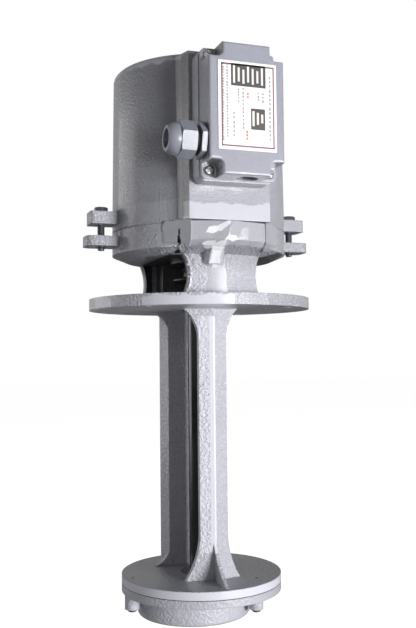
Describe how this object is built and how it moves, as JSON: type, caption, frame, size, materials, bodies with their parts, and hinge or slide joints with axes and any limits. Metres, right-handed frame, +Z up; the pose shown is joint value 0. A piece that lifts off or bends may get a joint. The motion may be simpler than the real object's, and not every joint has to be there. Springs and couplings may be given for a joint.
{
  "type": "immersion coolant pump",
  "caption": "Vertical immersion pump: closed motor on a flanged cast column with shaft and riser leg, impeller casing below, terminal box with cable gland.",
  "frame": {"origin": "shaft axis at the underside of the mounting flange", "axes": "+Z up the shaft to the motor, -Y to the terminal box, X through the clamp lugs"},
  "size_m": [0.191, 0.2015, 0.4355],
  "materials": {
    "housing_paint": "semi-gloss paint over fine cast texture",
    "column_paint": "semi-gloss paint over cast texture, parting line ground smooth",
    "box_paint": "semi-gloss paint over die casting",
    "shaft_steel": "turned steel, dark",
    "bolt_steel": "dark plated steel",
    "screw_steel": "zinc plated steel",
    "bearing_steel": "ground steel",
    "cage_steel": "pressed steel",
    "lamination": "stacked sheet",
    "copper": "enamelled wire",
    "rotor_cast": "die cast rings on sheet pack",
    "impeller_metal": "cast and turned",
    "rubber_black": "moulded",
    "gasket_fibre": "pressed fibre sheet",
    "gland_plastic": "blue-grey moulded nylon",
    "board_plastic": "moulded",
    "terminal_brass": "turned brass",
    "plate_white": "printed film on thin sheet"
  },
  "bodies": {
    "stand": {"motor_housing": "housing_paint", "stator_core": "lamination", "stator_windings": "copper", "pump_column": "column_paint", "pump_casing": "column_paint", "casing_gasket": "gasket_fibre", "lower_bearing_outer_ring": "bearing_steel", "upper_bearing_outer_ring": "bearing_steel", "bearing_retainer": "screw_steel", "retainer_screws": "screw_steel", "shaft_seal": "rubber_black", "preload_spring": "cage_steel", "terminal_box": "box_paint", "box_gasket": "rubber_black", "lid_gasket": "rubber_black", "terminal_lid": "box_paint", "nameplate": "plate_white", "terminal_board": "board_plastic", "terminal_studs": "terminal_brass", "terminal_nuts": "terminal_brass", "terminal_links": "terminal_brass", "board_screws": "screw_steel", "earth_screw": "terminal_brass", "gland_washer": "rubber_black", "gland_body": "gland_plastic", "gland_seal": "rubber_black", "gland_locknut": "gland_plastic", "gland_nut": "gland_plastic", "housing_bolts": "bolt_steel", "casing_screws": "bolt_steel", "box_screws": "screw_steel", "lid_screws": "screw_steel"},
    "rotor": {"shaft": "shaft_steel", "rotor_core": "rotor_cast", "lower_bearing_inner_ring": "bearing_steel", "upper_bearing_inner_ring": "bearing_steel", "circlip": "cage_steel", "shaft_slinger": "rubber_black", "impeller_key": "screw_steel", "impeller": "impeller_metal", "impeller_washer": "screw_steel", "impeller_nut": "screw_steel"},
    "lower_cage": {"lower_bearing_balls": "bearing_steel", "lower_bearing_cage": "cage_steel"},
    "upper_cage": {"upper_bearing_balls": "bearing_steel", "upper_bearing_cage": "cage_steel"}
  },
  "joints": [
    {"name": "rotor_spin", "type": "hinge", "parent": "stand", "child": "rotor", "pos_m": [0, 0, 0], "axis": [0, 0, 1], "continuous": true},
    {"name": "lower_cage_spin", "type": "hinge", "parent": "stand", "child": "lower_cage", "pos_m": [0, 0, 0.0565], "axis": [0, 0, 1], "continuous": true},
    {"name": "upper_cage_spin", "type": "hinge", "parent": "stand", "child": "upper_cage", "pos_m": [0, 0, 0.175], "axis": [0, 0, 1], "continuous": true}
  ],
  "couplings": [
    {"joint": "lower_cage_spin", "follows": "rotor_spin", "ratio": 0.3969},
    {"joint": "upper_cage_spin", "follows": "rotor_spin", "ratio": 0.3815}
  ]
}
